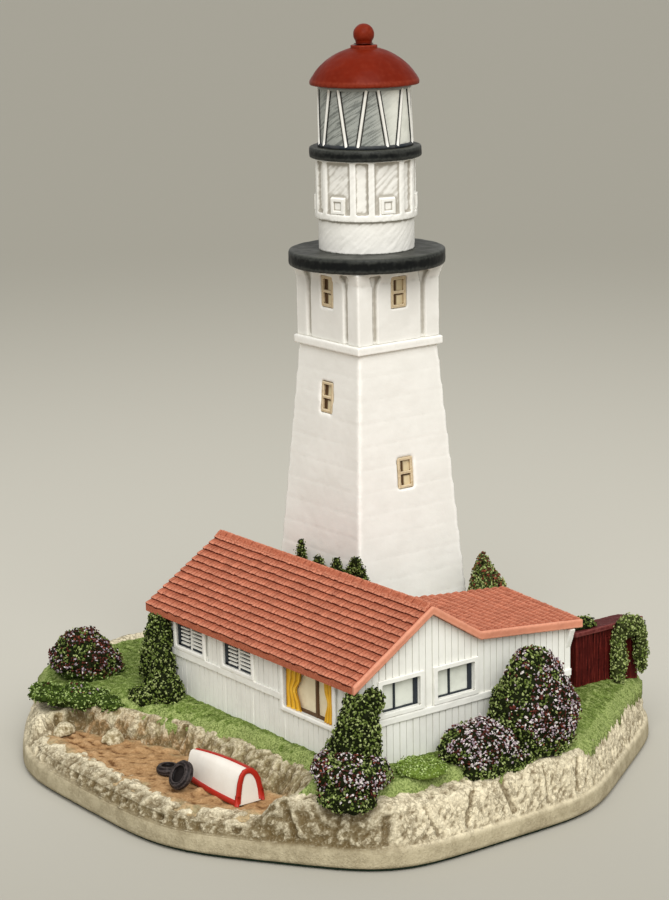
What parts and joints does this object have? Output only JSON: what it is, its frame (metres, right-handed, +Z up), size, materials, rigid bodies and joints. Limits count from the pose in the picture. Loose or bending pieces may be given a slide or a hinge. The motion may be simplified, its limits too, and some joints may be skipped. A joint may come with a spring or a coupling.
{
  "type": "lighthouse figurine",
  "caption": "Painted lighthouse figurine: a square tapered tower with a domed lantern behind a tile-roofed keeper's house, on a rock base with lawn, beach and plants.",
  "frame": {"origin": "centre of the base's plan, on the surface it stands on", "axes": "+Z up; the house's long window wall faces -Y and its gable wall faces +X"},
  "size_m": [0.1106, 0.1104, 0.1352],
  "materials": {
    "white_paint": "satin hand-painted cast resin",
    "tower_white": "matt hand-painted cast resin with faint coursing",
    "rock": "rough cast rock, dry brushed",
    "sand": "grainy sand, washed",
    "grass": "stippled grass, dry brushed yellow green",
    "felt": "dark green felt",
    "black_paint": "satin black",
    "dome_red": "satin brick red",
    "lantern_grey": "brushed silver grey",
    "tile": "terracotta tile with dark wash",
    "fascia": "salmon paint",
    "tan_frame": "tan wash",
    "dark_frame": "blue black wash",
    "pane": "pale grey pane",
    "beige_pane": "beige pane",
    "curtain_yellow": "yellow paint",
    "foliage": "stippled leaves, dry brushed",
    "flowers": "stippled flowers over dark leaves",
    "shed_red": "dark red planks with a wash",
    "boat_white": "white paint",
    "trim_red": "red paint",
    "tyre_black": "brown black paint",
    "door_brown": "brown planks"
  },
  "bodies": {
    "root": {"felt_pad": "felt", "rock_base": "rock", "beach_sand": "sand", "lawn": "grass", "boulders": "rock", "tower_shaft": "tower_white", "belt_course": "tower_white", "watch_room": "tower_white", "gallery_deck": "black_paint", "lantern_drum": "tower_white", "drum_hatches": "tower_white", "lantern_gallery": "black_paint", "lantern_glazing": "lantern_grey", "lantern_cage": "white_paint", "dome_roof": "dome_red", "vent_ball": "dome_red", "tower_panes": "beige_pane", "tower_frames": "tan_frame", "tower_door": "door_brown", "house_walls": "white_paint", "main_roof": "tile", "wing_roof": "tile", "ridge_cap": "tile", "gable_fascia": "fascia", "front_surrounds": "white_paint", "gable_surrounds": "white_paint", "louvre_backs": "dark_frame", "picture_pane": "beige_pane", "gable_panes": "pane", "louvre_frames": "dark_frame", "picture_sash": "tan_frame", "gable_sashes": "dark_frame", "louvre_slats": "white_paint", "curtains": "curtain_yellow", "wall_band": "white_paint", "eave_bracket": "white_paint", "back_door": "door_brown", "shed_walls": "shed_red", "shed_door": "shed_red", "shed_roof": "shed_red", "boat_hull": "boat_white", "boat_transom_trim": "trim_red", "flat_tyre": "tyre_black", "leaning_tyre": "tyre_black", "left_corner_ivy": "foliage", "front_corner_ivy": "foliage", "left_bush": "flowers", "front_flower_bed": "flowers", "cone_bush": "flowers", "gable_flower_bed": "flowers", "grass_mound": "grass", "tower_bush": "foliage", "shed_ivy": "foliage", "shed_roof_ivy": "foliage", "spiky_plants": "foliage"}
  },
  "joints": []
}
